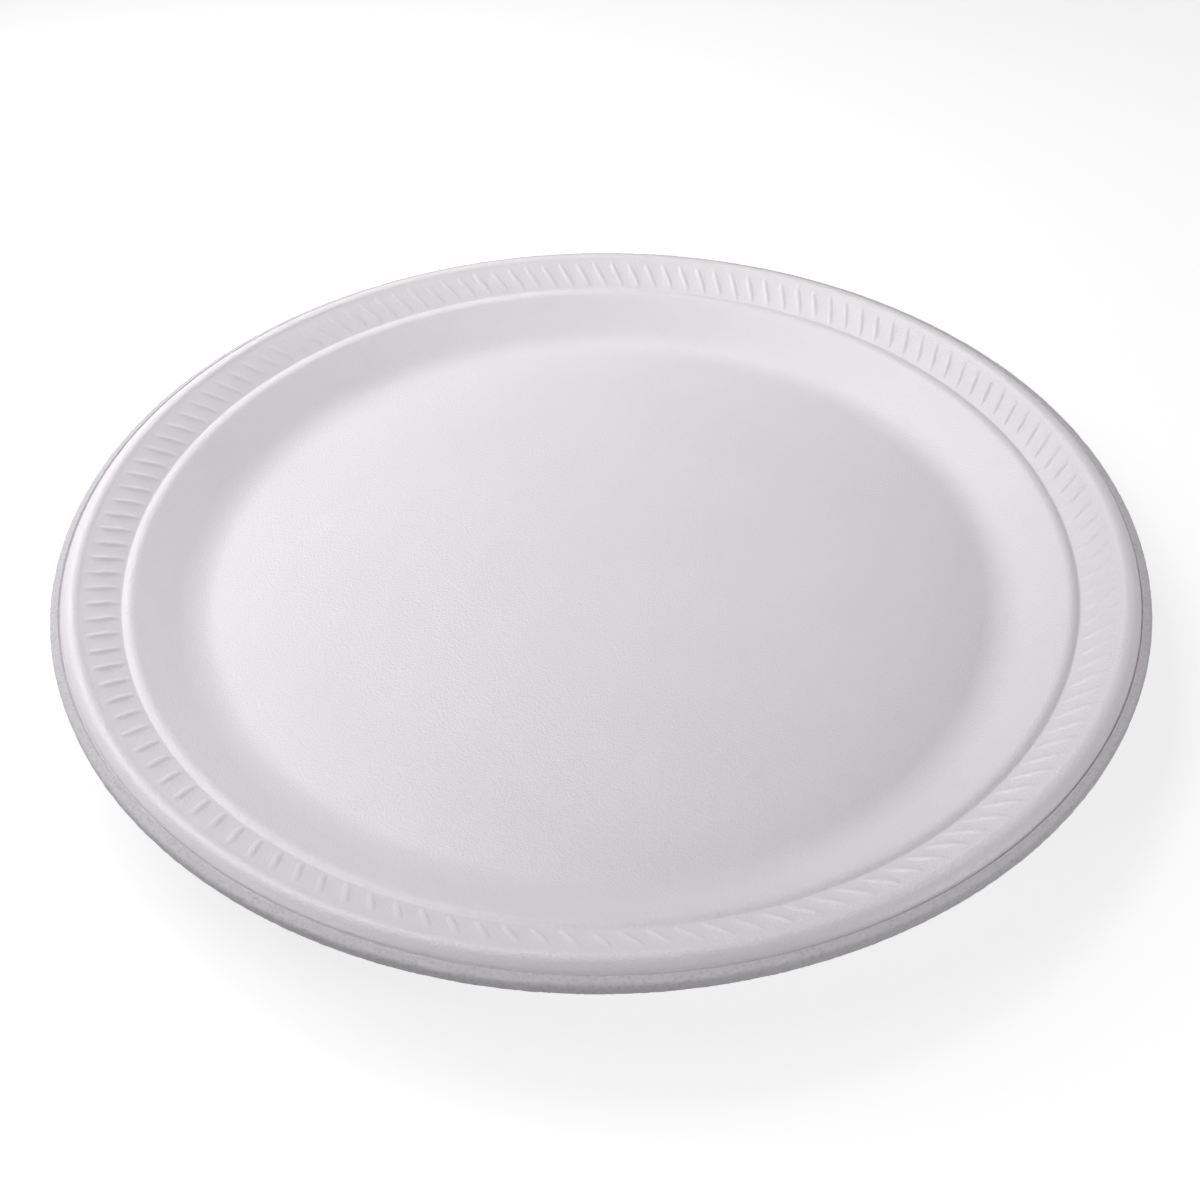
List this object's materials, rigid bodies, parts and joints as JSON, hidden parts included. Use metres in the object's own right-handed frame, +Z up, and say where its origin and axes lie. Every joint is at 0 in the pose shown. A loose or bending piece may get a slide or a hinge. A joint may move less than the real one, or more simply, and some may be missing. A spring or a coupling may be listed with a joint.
{
  "type": "disposable plate",
  "caption": "Round white foam dinner plate with a flat well, sloping wall, shoulder bead, ring of slanted ribs on the flange and a rolled lip.",
  "frame": {"origin": "centre of the plate's underside, on the surface it stands on", "axes": "+Z up along the plate's axis, out of the well; X and Y across the plate"},
  "size_m": [0.26, 0.26, 0.021],
  "materials": {
    "foam": "satin white foam skin with a fine grain"
  },
  "bodies": {
    "root": {"plate": "foam"}
  },
  "joints": []
}
